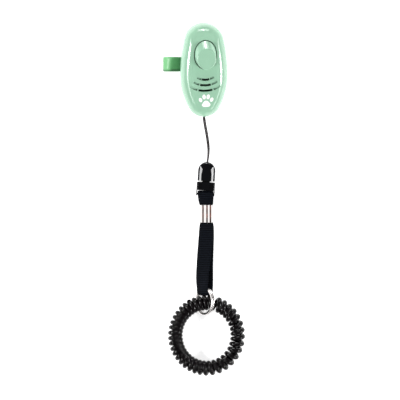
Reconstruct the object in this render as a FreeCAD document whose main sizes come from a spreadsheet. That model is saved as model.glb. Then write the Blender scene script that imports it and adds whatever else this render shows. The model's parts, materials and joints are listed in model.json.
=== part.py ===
"""Clicker trainer with a lanyard and a wrist coil: a FreeCAD 1.1 macro, in millimetres.

Row frame: +Z up from the table, +Y along the laid-out lanyard towards the clicker's
button end, +X to the right seen from above. The origin is on the table, at the middle
of the whole object. The case is drawn in its own frame (x right, y long axis, z out of
the front, z = 0 on the parting plane) and tipped into place by one placement.
"""
import FreeCAD, Part
import math
import os
import Sketcher

V = FreeCAD.Vector
X_AXIS = V(1, 0, 0)
Y_AXIS = V(0, 1, 0)
Z_AXIS = V(0, 0, 1)

DIMENSIONS = {
    # egg-shaped case
    "case_length": 67.6, "case_width": 33.0, "front_depth": 9.0, "back_depth": 11.0,
    "widest_offset": 4.0, "top_radius": 14.0, "tail_radius": 12.0,
    "shoulder": 8.5, "wall": 1.6, "pitch": 20.0, "roll": 7.0,
    "case_x": -0.33, "case_y": 90.56,
    # button
    "button_y": 14.2, "hole_rx": 8.1, "hole_ry": 10.8, "button_gap": 0.65,
    "button_top_x": 0.4, "button_top_y": 12.6, "button_top_rx": 6.6, "button_top_ry": 7.8,
    "button_rise": 5.0,
    "button_edge": 0.8, "lip_rx": 8.6, "lip_ry": 11.4, "lip_top": 6.95,
    "lip_depth": 1.2, "stem_radius": 1.6, "stem_gap": 0.25,
    # sound slots
    "slot_centre_y": 5.8, "slot_width": 1.6, "groove_width": 1.4, "groove_depth": 0.7,
    # click leaf and its clamp
    "leaf_thick": 0.35, "leaf_width": 8.0, "leaf_top": -4.0, "leaf_root_y": -8.9,
    "leaf_tip_y": 19.0, "foot_width": 15.0, "foot_length": 6.4, "clamp_thick": 1.0,
    "clamp_screw_x": 5.2, "clamp_screw_radius": 0.9,
    # case screws and cord pin
    "screw_radius": 1.0, "screw_head_radius": 1.8, "screw_head": 1.4,
    "boss_radius": 1.9, "screw_fit": 0.03,
    "pin_radius": 0.8, "pin_y": -29.3, "pin_fit": 0.03, "pin_top": 5.0, "pin_end": -6.5,
    "mouth_above": 1.2, "mouth_below": 2.8,
    # finger band
    "band_left": -28.9, "band_right": 4.2, "band_front_y": 89.9, "band_back_y": 99.9,
    "band_thick": 1.8, "band_gap": 0.05, "stud_width": 6.0, "stud_length": 5.2,
    "flange_width": 9.0, "flange_length": 8.2, "flange_thick": 1.0,
    "retainer_thick": 1.0, "peg_radius": 0.8, "peg_x": 6.2,
    # lanyard cord
    "cord_radius": 1.0, "eye_radius": 1.55, "strand_radius": 0.5,
    # side-release buckle
    "buckle_x": 1.14, "buckle_y": 12.5, "buckle_z": 3.0, "buckle_slant": 3.5,
    "plug_width": 12.1, "plug_length": 14.1, "plug_thick": 5.6, "arm_gap": 0.8,
    "arm_thick": 1.3, "slot_inner": 3.6, "slot_top": 11.0, "tongue_width": 5.4,
    "tongue_thick": 3.2, "tongue_reach": 4.6, "ferrule_radius": 1.7, "ferrule_length": 4.4,
    "collar_width": 12.8, "collar_length": 5.8, "collar_thick": 6.0, "tongue_clear": 0.25,
    "bar_radius": 0.7, "bar_play": 0.4, "bar_y": -8.4, "leg_thick": 0.6,
    # strap and crimp
    "strap_width": 9.6, "strap_thick": 1.0, "crimp_x": 1.55, "crimp_top_y": -3.5,
    "crimp_length": 12.2, "crimp_width": 9.7, "crimp_thick": 3.0, "crimp_wall": 0.5,
    "groove_radius": 0.6, "groove_lift": 0.25,
    # split ring
    "ring_x": 0.3, "ring_y": -70.5, "ring_z": 8.6, "ring_outer": 9.8, "ring_inner": 8.3,
    "ring_thick": 2.4, "ring_tilt": 52.0, "eye_tilt": 45.0, "eye_drop": 1.3,
    "eye_inner": 2.7, "eye_wall": 0.9,
    # wrist coil
    "coil_x": 1.5, "coil_y": -94.6, "coil_radius": 22.6, "coil_tube": 5.0,
}

doc = FreeCAD.newDocument("clicker_trainer")
sheet = doc.addObject("Spreadsheet::Sheet", "Dims")
for row, (alias, value) in enumerate(DIMENSIONS.items(), 1):
    sheet.set(f"A{row}", alias)
    sheet.set(f"B{row}", str(value))
    sheet.setAlias(f"B{row}", alias)
doc.recompute()


def dim(alias):
    """A driving dimension, read back from the sheet."""
    return float(sheet.get(alias))


# ---- general builders ----------------------------------------------------------------

def bind(item, **expressions):
    """Bind properties to expressions of the sheet's aliases, each written as {alias}."""
    for name, text in expressions.items():
        item.setExpression(name, text.replace("{", "Dims.").replace("}", ""))
    return item


def part(kind, name, place=V(), rotation=FreeCAD.Rotation(), **sizes):
    """A Part primitive with bound sizes, at a place in its own frame."""
    item = bind(doc.addObject("Part::" + kind, name), **sizes)
    item.Placement = FreeCAD.Placement(place, rotation)
    return item


def centred_box(name, low, size):
    """A box centred on x = 0 from the y and z of its low corner; size is expressions."""
    width, length, height = size
    item = part("Box", name, V(0, low[0], low[1]), Width=length, Length=width, Height=height)
    return bind(item, **{"Placement.Base.x": f"-({width}) / 2"})


def fuse(name, items):
    item = doc.addObject("Part::MultiFuse", name)
    item.Shapes = items
    return item


def cut(name, base, tool):
    item = doc.addObject("Part::Cut", name)
    item.Base = base
    item.Tool = tool
    return item


def rounded(name, base, picks, radius):
    """Fillet the edges that picks(edge) accepts."""
    doc.recompute()
    item = doc.addObject("Part::Fillet", name)
    item.Base = base
    edges = enumerate(base.Shape.Edges, 1)
    item.Edges = [(number, radius, radius) for number, edge in edges if picks(edge)]
    return item


def new_body(name):
    return doc.addObject("PartDesign::Body", name)


def sketch_on(body, name, height=None, role="XY_Plane"):
    """A sketch on one of the body's own origin planes, at a bound height above it."""
    sketch = body.newObject("Sketcher::SketchObject", name)
    plane = next(item for item in body.Origin.OriginFeatures if item.Role == role)
    sketch.AttachmentSupport = [(plane, "")]
    sketch.MapMode = "FlatFace"
    if height:
        bind(sketch, **{"AttachmentOffset.Base.z": height})
    return sketch


def pad(body, name, sketch, length, reverse=False):
    feature = body.newObject("PartDesign::Pad", name)
    feature.Profile = sketch
    feature.Reversed = reverse
    return bind(feature, Length=length)


def pocket(body, name, sketch, length, reverse=False):
    """A pocket, which has to take material away."""
    before = body.Tip.Shape.Volume
    feature = body.newObject("PartDesign::Pocket", name)
    feature.Profile = sketch
    feature.Reversed = reverse
    bind(feature, Length=length)
    doc.recompute()
    if feature.Shape.Volume >= before:
        raise RuntimeError(f"{name} cuts nothing")
    return feature


def body_fillet(body, name, picks, radius):
    doc.recompute()
    base = body.Tip
    feature = body.newObject("PartDesign::Fillet", name)
    edges = enumerate(base.Shape.Edges, 1)
    feature.Base = (base, [f"Edge{number}" for number, edge in edges if picks(edge)])
    return bind(feature, Radius=radius)


def lies_at(height, tolerance=0.01):
    """Picks the edges that lie wholly at one height."""
    def test(edge):
        box = edge.BoundBox
        return abs(box.ZMin - height) < tolerance and abs(box.ZMax - height) < tolerance
    return test


def add_arc(sketch, centre, radius, start, end):
    """An arc from start to end, in degrees, anticlockwise."""
    circle = Part.Circle(V(centre[0], centre[1], 0), Z_AXIS, radius)
    arc = Part.ArcOfCircle(circle, math.radians(start), math.radians(end))
    return sketch.addGeometry(arc, False)


def add_polygon(sketch, corners):
    for start, end in zip(corners, corners[1:] + corners[:1]):
        sketch.addGeometry(Part.LineSegment(V(*start, 0), V(*end, 0)), False)


def add_ellipse(sketch, centre_y, radius_x, radius_y, centre_x=0.0):
    """An upright ellipse; radius_y is the longer one."""
    top = V(centre_x, centre_y + radius_y, 0)
    side = V(centre_x + radius_x, centre_y, 0)
    sketch.addGeometry(Part.Ellipse(top, side, V(centre_x, centre_y, 0)), False)


PLACED = {}


def keep(item, label, placement=FreeCAD.Placement()):
    """Name a finished sub-part and put it in its place in the row frame."""
    item.Label = label
    item.Placement = placement
    PLACED[label] = item


# ---- where the case lies ---------------------------------------------------------------

def case_placement():
    """Rolled about its long axis, pitched up at the button end, tail on the table."""
    turn = FreeCAD.Rotation(X_AXIS, dim("pitch")).multiply(
        FreeCAD.Rotation(Y_AXIS, dim("roll")))
    down = turn.inverted().multVec(V(0, 0, -1))
    ring_centre = V(0, dim("tail_radius") - dim("case_length") / 2,
                    dim("shoulder") - dim("back_depth"))
    reach = (dim("tail_radius") - dim("shoulder")) * math.hypot(down.x, down.y)
    height = ring_centre.dot(down) + reach + dim("shoulder")
    return FreeCAD.Placement(V(dim("case_x"), dim("case_y"), height), turn)


CASE = case_placement()


# ---- case shells -----------------------------------------------------------------------

def egg_outline(sketch, inset):
    """Six tangent arcs: blunt top, narrower tail and two arcs down each side."""
    half = dim("case_width") / 2
    widest = -dim("widest_offset")
    corner = {}
    for end, sign in (("top", 1), ("tail", -1)):
        radius = dim(end + "_radius")
        reach = dim("case_length") / 2 - sign * widest
        side = (half ** 2 + reach ** 2 - 2 * radius * reach) / (2 * (half - radius))
        angle = math.degrees(math.atan2(reach - radius, side - half))
        corner[end] = (radius, widest + sign * (reach - radius), side, angle)
    radius, centre, side, angle = corner["top"]
    add_arc(sketch, (half - side, widest), side - inset, 0, angle)
    add_arc(sketch, (0, centre), radius - inset, angle, 180 - angle)
    add_arc(sketch, (side - half, widest), side - inset, 180 - angle, 180)
    radius, centre, side, angle = corner["tail"]
    add_arc(sketch, (side - half, widest), side - inset, 180, 180 + angle)
    add_arc(sketch, (0, centre), radius - inset, 180 + angle, 360 - angle)
    add_arc(sketch, (half - side, widest), side - inset, 360 - angle, 360)
    for arc in range(6):
        sketch.addConstraint(Sketcher.Constraint("Tangent", arc, 2, (arc + 1) % 6, 1))


def egg_block(name, inset, depth, radius, sign):
    """A shallow egg-shaped block with a full shoulder, on one side of the parting plane."""
    body = new_body(name)
    outline = sketch_on(body, name + "Outline")
    egg_outline(outline, inset)
    pad(body, name + "Pad", outline, depth, sign < 0)
    doc.recompute()
    height = body.Tip.Length.Value
    body_fillet(body, name + "Shoulder", lies_at(sign * height), radius)
    return body


def half_shell(name, depth, sign):
    """One half of the case: an egg-shaped cup, open at the parting plane."""
    outer = egg_block(name + "Block", 0, depth, "{shoulder}", sign)
    cavity = egg_block(name + "Cavity", dim("wall"), depth + " - {wall}",
                       "{shoulder} - {wall}", sign)
    return cut(name + "Cup", outer, cavity)


def round_bar(name, x, y, radius, start, end):
    """A cylinder along z between two heights, with a bound radius."""
    return part("Cylinder", name, V(x, y, min(start, end)), Radius=radius,
                Height=str(abs(end - start)))


def free_sketch(name, height=0.0):
    """A sketch parallel to the parting plane, at a height above it."""
    sketch = doc.addObject("Sketcher::SketchObject", name)
    sketch.Placement = FreeCAD.Placement(V(0, 0, height), FreeCAD.Rotation())
    return sketch


def extruded(name, sketch, length):
    """A sketch extruded along z; a minus sign in length sends it down."""
    item = doc.addObject("Part::Extrusion", name)
    item.Base = sketch
    item.DirMode = "Custom"
    item.Dir = Z_AXIS
    item.Solid = True
    return bind(item, LengthFwd=length)


def tail_mouth(name, length):
    """The flared opening in the tail that lets the cord swing on its pin."""
    sketch = free_sketch(name + "Plan")
    pin = dim("pin_y")
    add_polygon(sketch, [(-2.2, pin + 1.6), (-2.2, pin), (-5.4, pin - 6.0),
                         (5.4, pin - 6.0), (2.2, pin), (2.2, pin + 1.6)])
    return extruded(name, sketch, length)


# y of the finger band's stud
STUD_Y = 0.6
# y of each case screw, top of its front post, end of its back post, seat of its head
CASE_SCREWS = ((29.4, 6.2, -8.2, -6.2), (-21.5, 8.0, -10.2, -8.0))
SLOT_RADII = (9.9, 14.0, 18.0)
SLOT_ANGLE = 15.6
GROOVE_ANGLES = (18.6, 35.3)


def add_arc_slot(sketch, radius, width, middle, half_angle):
    """A slot along an arc about the fan's centre, between two angles, with square ends."""
    centre = (0, dim("slot_centre_y"))
    start, end = middle - half_angle, middle + half_angle
    inner, outer = radius - width / 2, radius + width / 2
    add_arc(sketch, centre, outer, start, end)
    add_arc(sketch, centre, inner, start, end)
    for angle in (start, end):
        ray = V(math.cos(math.radians(angle)), math.sin(math.radians(angle)), 0)
        foot = V(0, centre[1], 0)
        sketch.addGeometry(Part.LineSegment(foot + ray * inner, foot + ray * outer), False)


def build_front_shell():
    cup = half_shell("Front", "{front_depth}", 1)
    pin_low = dim("mouth_above") + 0.4
    posts = [round_bar(f"FrontPost{number}", 0, y, "{boss_radius}", 0, top)
             for number, (y, top, _, _) in enumerate(CASE_SCREWS)]
    posts.append(round_bar("FrontPinPost", 0, dim("pin_y"), "{boss_radius}", pin_low, 6.3))
    hollows = [round_bar(f"FrontPilot{number}", 0, y, "{screw_radius} + {screw_fit}", -1, top - 1.4)
               for number, (y, top, _, _) in enumerate(CASE_SCREWS)]
    hollows.append(round_bar("FrontPinHole", 0, dim("pin_y"), "{pin_radius} + {pin_fit}",
                             pin_low - 1, dim("pin_top") + 0.1))
    hollows.append(tail_mouth("FrontMouth", "{mouth_above}"))
    opening = free_sketch("ButtonHole")
    add_ellipse(opening, dim("button_y"), dim("hole_rx"), dim("hole_ry"))
    hollows.append(extruded("ButtonOpening", opening, "{front_depth} + 1"))
    slots = free_sketch("SoundSlots")
    grooves = free_sketch("SoundGrooves", dim("front_depth"))
    groove_middle = sum(GROOVE_ANGLES) / 2
    groove_half = (GROOVE_ANGLES[1] - GROOVE_ANGLES[0]) / 2
    for radius in SLOT_RADII:
        add_arc_slot(slots, radius, dim("slot_width"), -90, SLOT_ANGLE)
        for side in (-1, 1):
            add_arc_slot(grooves, radius, dim("groove_width"),
                         -90 + side * groove_middle, groove_half)
    hollows.append(extruded("SlotCuts", slots, "{front_depth} + 1"))
    hollows.append(extruded("GrooveCuts", grooves, "-{groove_depth}"))
    keep(cut("FrontShell", fuse("FrontSolid", [cup] + posts), fuse("FrontHollows", hollows)),
         "front_shell", CASE)


def build_back_shell():
    cup = half_shell("Back", "{back_depth}", -1)
    pin_high = -dim("mouth_below") - 0.4
    root = dim("leaf_root_y") - 0.1
    foot_y = root - dim("foot_length") / 2
    leaf_under = dim("leaf_top") - dim("leaf_thick")
    floor = -dim("back_depth") + dim("wall") / 2
    solids = [cup]
    hollows = []
    for number, (y, _, end, seat) in enumerate(CASE_SCREWS):
        solids.append(round_bar(f"BackPost{number}", 0, y, "{boss_radius} + 0.6", -0.1, end))
        hollows.append(round_bar(f"BackBore{number}", 0, y, "{screw_radius} + {screw_fit}", 1, -12))
        hollows.append(round_bar(f"BackSeat{number}", 0, y, "{screw_head_radius} + 0.1", -12, seat))
    solids.append(round_bar("BackPinPost", 0, dim("pin_y"), "{boss_radius}", pin_high, -8.2))
    hollows.append(round_bar("BackPinHole", 0, dim("pin_y"), "{pin_radius} + {pin_fit}",
                             pin_high + 1, dim("pin_end") - 0.1))
    hollows.append(tail_mouth("BackMouth", "-{mouth_below}"))
    solids.append(centred_box("Pedestal", (root - dim("foot_length"), floor), (
        "{foot_width}", "{foot_length}", str(leaf_under - floor))))
    for side in (-1, 1):
        hollows.append(round_bar(f"ClampHole{side}", side * dim("clamp_screw_x"), foot_y,
                                 "{clamp_screw_radius} + {screw_fit}", leaf_under + 1,
                                 leaf_under - 4.1))
        solids.append(round_bar(f"Peg{side}", side * dim("peg_x"), STUD_Y, "{peg_radius}",
                                floor, -6.9))
    hollows.append(centred_box("StudOpening", (
        STUD_Y - dim("stud_length") / 2 - 0.05, -dim("back_depth") - 1), (
        "{stud_width} + 0.1", "{stud_length} + 0.1", "{wall} + 2")))
    keep(cut("BackShell", fuse("BackSolid", solids), fuse("BackHollows", hollows)),
         "back_shell", CASE)


def build_case_fasteners():
    """Two pan-head screws that close the case from the back, and the cord's cross pin."""
    screws = []
    for number, (y, top, _, seat) in enumerate(CASE_SCREWS):
        shank = part("Cylinder", f"CaseShank{number}", V(0, y, seat - 0.2),
                     Radius="{screw_radius}", Height=str(top - 1.6 - seat + 0.2))
        head = part("Cylinder", f"CaseHead{number}", V(0, y, seat - dim("screw_head")),
                    Radius="{screw_head_radius}", Height="{screw_head}")
        slot = centred_box(f"CaseSlot{number}", (y - 1.2, seat - dim("screw_head") - 0.1),
                           ("0.5", "2.4", "0.6"))
        cross = part("Box", f"CaseCross{number}", V(-1.2, y - 0.25, seat - 1.5),
                     Length="2.4", Width="0.5", Height="0.6")
        drive = fuse(f"CaseDrive{number}", [slot, cross])
        whole = fuse(f"CaseScrew{number}", [shank, head])
        screws.append(cut(f"CaseScrewCut{number}", whole, drive))
    group = doc.addObject("Part::Compound", "CaseScrews")
    group.Links = screws
    keep(group, "shell_screws", CASE)
    pin = part("Cylinder", "LugPin", V(0, dim("pin_y"), dim("pin_end")),
               Radius="{pin_radius}", Height="{pin_top} - {pin_end}")
    keep(pin, "lug_pin", CASE.multiply(pin.Placement))


# ---- button ----------------------------------------------------------------------------

def build_button():
    """A tapered oval thumb button, steeper towards the tail, with a lip under the case's
    front and a stem below."""
    body = new_body("Button")
    lip_low = dim("lip_top") - dim("lip_depth")
    front = dim("front_depth")
    y = dim("button_y")
    lip = sketch_on(body, "LipOval", str(lip_low))
    add_ellipse(lip, y, dim("lip_rx"), dim("lip_ry"))
    pad(body, "Lip", lip, "{lip_depth}")
    base = (dim("hole_rx") - dim("button_gap"), dim("hole_ry") - dim("button_gap"))
    skirt = sketch_on(body, "SkirtOval", str(lip_low + 0.2))
    add_ellipse(skirt, y, *base)
    pad(body, "Skirt", skirt, str(front + 0.2 - lip_low))
    low = sketch_on(body, "TaperLow", str(front + 0.4))
    add_ellipse(low, y, *base)
    high = sketch_on(body, "TaperHigh", "{front_depth} + {button_rise}")
    add_ellipse(high, dim("button_top_y"), dim("button_top_rx"), dim("button_top_ry"),
                dim("button_top_x"))
    doc.recompute()
    taper = body.newObject("PartDesign::AdditiveLoft", "Taper")
    taper.Profile = low
    taper.Sections = [high]
    taper.Ruled = True
    body_fillet(body, "ButtonEdge", lies_at(front + dim("button_rise")), "{button_edge}")
    doc.recompute()
    tip = dim("leaf_top") + dim("stem_gap")
    stem = round_bar("Stem", 0, y, "{stem_radius}", lip_low + 0.3, tip)
    keep(fuse("ButtonWhole", [body, stem]), "button", CASE)


# ---- click leaf ------------------------------------------------------------------------

def build_leaf():
    """The steel strip that clicks: a dimpled blade that bends at the front of its foot."""
    under = dim("leaf_top") - dim("leaf_thick")
    root = dim("leaf_root_y")
    blade = centred_box("BladeStrip", (root, under), (
        "{leaf_width}", "{leaf_tip_y} - {leaf_root_y}", "{leaf_thick}"))
    dimple_y, dimple_rise, dimple_radius = 4.5, 0.7, 6.0
    centre = V(0, dimple_y, dim("leaf_top") + dimple_rise - dimple_radius)
    dome = part("Sphere", "DimpleBall", centre, Radius=str(dimple_radius))
    slab = centred_box("DimpleSlab", (dimple_y - 3.4, under + 0.1), ("6.8", "6.8", "2"))
    cap = doc.addObject("Part::MultiCommon", "DimpleCap")
    cap.Shapes = [dome, slab]
    hollow = part("Sphere", "DimpleHollow", centre,
                  Radius=f"{dimple_radius} - {{leaf_thick}}")
    keep(cut("ClickLeaf", fuse("BladeAndCap", [blade, cap]), hollow), "click_leaf", CASE)

    foot_y = root - 0.1 - dim("foot_length")
    middle = foot_y + dim("foot_length") / 2
    stack = (("leaf_foot", under, "{leaf_thick}"),
             ("leaf_clamp", dim("leaf_top"), "{clamp_thick}"))
    for label, low, thick in stack:
        plate = centred_box(label + "_plate", (foot_y, low), ("{foot_width}", "{foot_length}", thick))
        holes = [part("Cylinder", f"{label}_hole{side}", V(side * dim("clamp_screw_x"), middle, low - 1),
                      Radius="{clamp_screw_radius} + {screw_fit}", Height="4")
                 for side in (-1, 1)]
        keep(cut(label + "_cut", plate, fuse(label + "_holes", holes)), label, CASE)

    screws = []
    seat = dim("leaf_top") + dim("clamp_thick")
    for side in (-1, 1):
        place = V(side * dim("clamp_screw_x"), middle, under - 4.0)
        shank = part("Cylinder", f"ClampShank{side}", place, Radius="{clamp_screw_radius}",
                     Height=str(seat - under + 4.2))
        head = part("Cylinder", f"ClampHead{side}", V(place.x, middle, seat),
                    Radius="{clamp_screw_radius} + 0.8", Height="1.0")
        slot = part("Box", f"ClampSlot{side}", V(place.x - 0.2, middle - 2, seat + 0.5),
                    Length="0.4", Width="4", Height="1")
        screws.append(cut(f"ClampScrew{side}", fuse(f"ClampBlank{side}", [shank, head]), slot))
    group = doc.addObject("Part::Compound", "ClampScrews")
    group.Links = screws
    keep(group, "clamp_screws", CASE)


# ---- finger band -----------------------------------------------------------------------

def band_height(x, y):
    """Height of the case's flat back, less the band's gap, above a point of the table."""
    out = CASE.Rotation.multVec(Z_AXIS)
    base = CASE.Base
    level = -dim("back_depth") - dim("band_gap")
    return base.z + (level - out.x * (x - base.x) - out.y * (y - base.y)) / out.z


def band_section(name, y, inset):
    """Bottom on the table, top along the case's back, round at both ends."""
    slope = band_height(1, y) - band_height(0, y)
    height = band_height(0, y)
    lean = 1 + math.hypot(1, slope)
    left = (dim("band_left") + height / lean) / (1 - slope / lean)
    right = (dim("band_right") - height / lean) / (1 + slope / lean)
    normal = V(-slope, 0, 1).normalize()
    points = []
    for x, side in ((left, -1), (right, 1)):
        radius = (height + slope * x) / lean
        centre = V(x, y, radius)
        radius -= inset
        points.append((centre - Z_AXIS * radius, centre + X_AXIS * side * radius,
                       centre + normal * radius))
    (low_left, end_left, top_left), (low_right, end_right, top_right) = points
    edges = [Part.LineSegment(low_left, low_right), Part.Arc(low_right, end_right, top_right),
             Part.LineSegment(top_right, top_left), Part.Arc(top_left, end_left, low_left)]
    wire = doc.addObject("Part::Feature", name)
    wire.Shape = Part.Wire([edge.toShape() for edge in edges])
    return wire


def build_finger_band():
    """A soft loop squashed under the case, with a stud and flange inside the back shell."""
    walls = []
    for inset in (0, dim("band_thick")):
        over = 1.0 if inset else 0.0
        tag = "Inner" if inset else "Outer"
        ends = [band_section(f"Band{tag}{number}", y, inset) for number, y in enumerate(
            (dim("band_front_y") - over, dim("band_back_y") + over))]
        loft = doc.addObject("Part::Loft", f"Band{tag}")
        loft.Sections = ends
        loft.Solid = True
        loft.Ruled = True
        walls.append(loft)
    loop = cut("BandLoop", *walls)
    back = -dim("back_depth")
    stud = centred_box("Stud", (STUD_Y - dim("stud_length") / 2, back - 0.5), (
        "{stud_width}", "{stud_length}", "{wall} + 0.6"))
    flange = centred_box("Flange", (STUD_Y - dim("flange_length") / 2, back + dim("wall") + 0.02), (
        "{flange_width}", "{flange_length}", "{flange_thick}"))
    root = fuse("BandRoot", [stud, flange])
    root.Placement = CASE
    keep(fuse("FingerBand", [loop, root]), "finger_band")

    low = back + dim("wall") + dim("flange_thick") + 0.04
    plate = centred_box("RetainerPlate", (STUD_Y - dim("flange_length") / 2 - 0.6, low), (
        "2 * {peg_x} + 3", "{flange_length} + 1.2", "{retainer_thick}"))
    holes = [part("Cylinder", f"RetainerHole{side}", V(side * dim("peg_x"), STUD_Y, low - 1),
                  Radius="{peg_radius} + 0.03", Height="4") for side in (-1, 1)]
    keep(cut("Retainer", plate, fuse("RetainerHoles", holes)), "band_retainer", CASE)


# ---- lanyard cord ----------------------------------------------------------------------

# where the doubled cord runs, from the pin in the case's tail to the buckle's nose
CORD_ROUTE = [
    V(-0.42, 61.76, 8.33), V(-0.40, 58.70, 7.20), V(0.15, 54.30, 5.10), V(1.10, 49.30, 3.30),
    V(1.95, 44.40, 2.15), V(2.65, 39.60, 1.62), V(3.00, 34.90, 1.70), V(2.75, 30.60, 2.30),
    V(2.10, 26.80, 2.95), V(1.90, 24.00, 3.00),
]


def rounded_path(points):
    """Straight runs joined by tangent arcs, each as large as its two runs allow."""
    edges = []
    start = points[0]
    radii = []
    for before, corner, after in zip(points, points[1:], points[2:]):
        way_in = corner - before
        way_out = after - corner
        turn = way_in.getAngle(way_out)
        back_off = 0.45 * min(way_in.Length, way_out.Length)
        radii.append(back_off / math.tan(turn / 2))
        way_in.normalize()
        way_out.normalize()
        first = corner - way_in * back_off
        last = corner + way_out * back_off
        bisector = (way_out - way_in).normalize()
        middle = corner + bisector * radii[-1] * (1 / math.cos(turn / 2) - 1)
        edges.append(Part.LineSegment(start, first).toShape())
        edges.append(Part.Arc(first, middle, last).toShape())
        start = last
    edges.append(Part.LineSegment(start, points[-1]).toShape())
    return Part.Wire(edges), radii


def build_lanyard_cord():
    """The doubled cord: an eye round the cross pin, and one tube down to the buckle."""
    path, radii = rounded_path(CORD_ROUTE)
    print("cord bend radii:", [round(radius, 1) for radius in radii])
    heading = CORD_ROUTE[1] - CORD_ROUTE[0]
    circle = Part.makeCircle(dim("cord_radius"), CORD_ROUTE[0], heading)
    tube = path.makePipeShell([Part.Wire([circle])], True, True)
    section = math.pi * dim("cord_radius") ** 2
    print("cord volume / (section x length):", round(tube.Volume / section / path.Length, 4))
    print("cord tube length:", round(path.Length, 2))
    eye = Part.makeTorus(dim("eye_radius"), dim("strand_radius"))
    eye.Placement = CASE.multiply(FreeCAD.Placement(
        V(0, dim("pin_y"), -0.7), FreeCAD.Rotation()))
    cord = doc.addObject("Part::Feature", "LanyardCord")
    cord.Shape = tube.fuse(eye)
    keep(cord, "lanyard_cord")


# ---- buckle ----------------------------------------------------------------------------

BUCKLE = FreeCAD.Placement(V(dim("buckle_x"), dim("buckle_y"), dim("buckle_z")),
                           FreeCAD.Rotation(Z_AXIS, -dim("buckle_slant")))


def build_buckle_plug():
    """Bullet-shaped half: a round nose, two thin side arms and a tongue between them."""
    body = new_body("PlugBlank")
    half = dim("plug_width") / 2
    shoulder = dim("plug_length") - half
    outline = sketch_on(body, "PlugOutline", "-{plug_thick} / 2")
    add_arc(outline, (0, shoulder), half, 0, 180)
    low = dim("arm_gap")
    corners = [(-half, shoulder), (-half, low), (half, low), (half, shoulder)]
    for start, end in zip(corners, corners[1:]):
        outline.addGeometry(Part.LineSegment(V(*start, 0), V(*end, 0)), False)
    pad(body, "PlugBlock", outline, "{plug_thick}")
    doc.recompute()

    def long_rim(edge):
        box = edge.BoundBox
        flat = box.ZLength < 0.01 and abs(abs(box.ZMin) - dim("plug_thick") / 2) < 0.01
        return flat and box.YMax > low + 0.1

    body_fillet(body, "PlugRim", long_rim, "{plug_thick} * 0.3")
    doc.recompute()
    slots = sketch_on(body, "ArmSlots", "-{plug_thick} / 2 - 1")
    inner, outer = dim("slot_inner"), half - dim("arm_thick")
    for side in (-1, 1):
        add_polygon(slots, [(side * inner, low - 1), (side * outer, low - 1),
                            (side * outer, shoulder - 0.6), (side * (inner + 0.9), dim("slot_top")),
                            (side * (inner - 0.6), dim("slot_top") - 2.0), (side * inner, 5.5)])
    pocket(body, "ArmSlotCuts", slots, "{plug_thick} + 2", True)
    knot = sketch_on(body, "KnotPlan", "-{plug_thick} / 2 - 1")
    add_polygon(knot, [(-1.8, 6.0), (1.8, 6.0), (1.8, 10.8), (-1.8, 10.8)])
    pocket(body, "KnotPocket", knot, "{plug_thick} / 2 + 1 + 1.8", True)
    entry = part("Cylinder", "CordEntry", V(0, 10.4, 0), FreeCAD.Rotation(X_AXIS, -90),
                 Radius="{cord_radius} + 0.15", Height="5")
    tongue = centred_box("Tongue", (-dim("tongue_reach"), -dim("tongue_thick") / 2), (
        "{tongue_width}", "{tongue_reach} + {arm_gap} + 0.4", "{tongue_thick}"))
    keep(fuse("Plug", [cut("PlugBored", body, entry), tongue]), "buckle_plug", BUCKLE)


def build_ferrule():
    """The crimped sleeve that keeps the cord's loop inside the buckle's nose."""
    length = dim("ferrule_length")
    sleeve = part("Cylinder", "FerruleSleeve", V(0, 6.2, 0), FreeCAD.Rotation(X_AXIS, -90),
                  Radius="{ferrule_radius}", Height="{ferrule_length}")
    start = BUCKLE.inverse().multVec(CORD_ROUTE[-1])
    bore = part("Cylinder", "FerruleBore", V(start.x, start.y - 0.05, start.z),
                FreeCAD.Rotation(X_AXIS, -90), Radius="{cord_radius} + 0.1", Height=str(length))
    keep(cut("Ferrule", sleeve, bore), "cord_ferrule", BUCKLE)


def build_buckle_socket():
    """Short collar that takes the tongue, with two legs and a bar for the strap."""
    length = dim("collar_length")
    block = centred_box("Collar", (-length, -dim("collar_thick") / 2), (
        "{collar_width}", "{collar_length}", "{collar_thick}"))

    def lengthways(edge):
        box = edge.BoundBox
        return box.XLength < 0.01 and box.ZLength < 0.01

    collar = rounded("CollarRounded", block, lengthways, 1.6)
    clear = "{tongue_clear}"
    hollow = centred_box("TonguePocket", (
        -dim("tongue_reach") - 0.4, -dim("tongue_thick") / 2 - dim("tongue_clear")), (
        "{tongue_width} + 2 * " + clear, "{tongue_reach} + 1", "{tongue_thick} + 2 * " + clear))
    notch_x, notch_y, notch_pitch = 3.9, -2.2, 1.9
    notch_width, notch_length, notch_height = 3.0, 0.7, 0.45
    top = dim("collar_thick") / 2
    ribs = []
    for side in (-1, 1):
        for level, low in (("Top", top - notch_height + 0.1), ("Under", -top - 0.1)):
            for number in range(2):
                corner = V(side * notch_x - notch_width / 2, notch_y - notch_pitch * number, low)
                ribs.append(part("Box", f"Notch{level}{side}{number}", corner,
                                 Length=str(notch_width), Width=str(notch_length),
                                 Height=str(notch_height)))
    hollows = fuse("CollarHollows", [hollow] + ribs)
    legs = [part("Box", f"Leg{side}", V(side * (dim("collar_width") / 2 - dim("leg_thick") / 2)
                                        - dim("leg_thick") / 2, dim("bar_y") - 1.2, -1.5),
                 Length="{leg_thick}", Width="-{bar_y} + 1.2 - {collar_length} + 0.5", Height="3")
            for side in (-1, 1)]
    bar = part("Cylinder", "StrapBar", V(-dim("collar_width") / 2 + 0.1, dim("bar_y"), 0),
               FreeCAD.Rotation(Y_AXIS, 90), Radius="{bar_radius}", Height="{collar_width} - 0.2")
    keep(fuse("Socket", [cut("CollarCut", collar, hollows), bar] + legs), "buckle_socket", BUCKLE)


# ---- strap, crimp, ring and coil -------------------------------------------------------

RING_TILT = FreeCAD.Rotation(Y_AXIS, -dim("ring_tilt"))
EYE_TILT = FreeCAD.Rotation(Y_AXIS, -dim("eye_tilt"))
EYE_CENTRE = V(dim("ring_x"), dim("ring_y") + dim("ring_outer") - dim("eye_drop"), dim("ring_z"))


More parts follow.
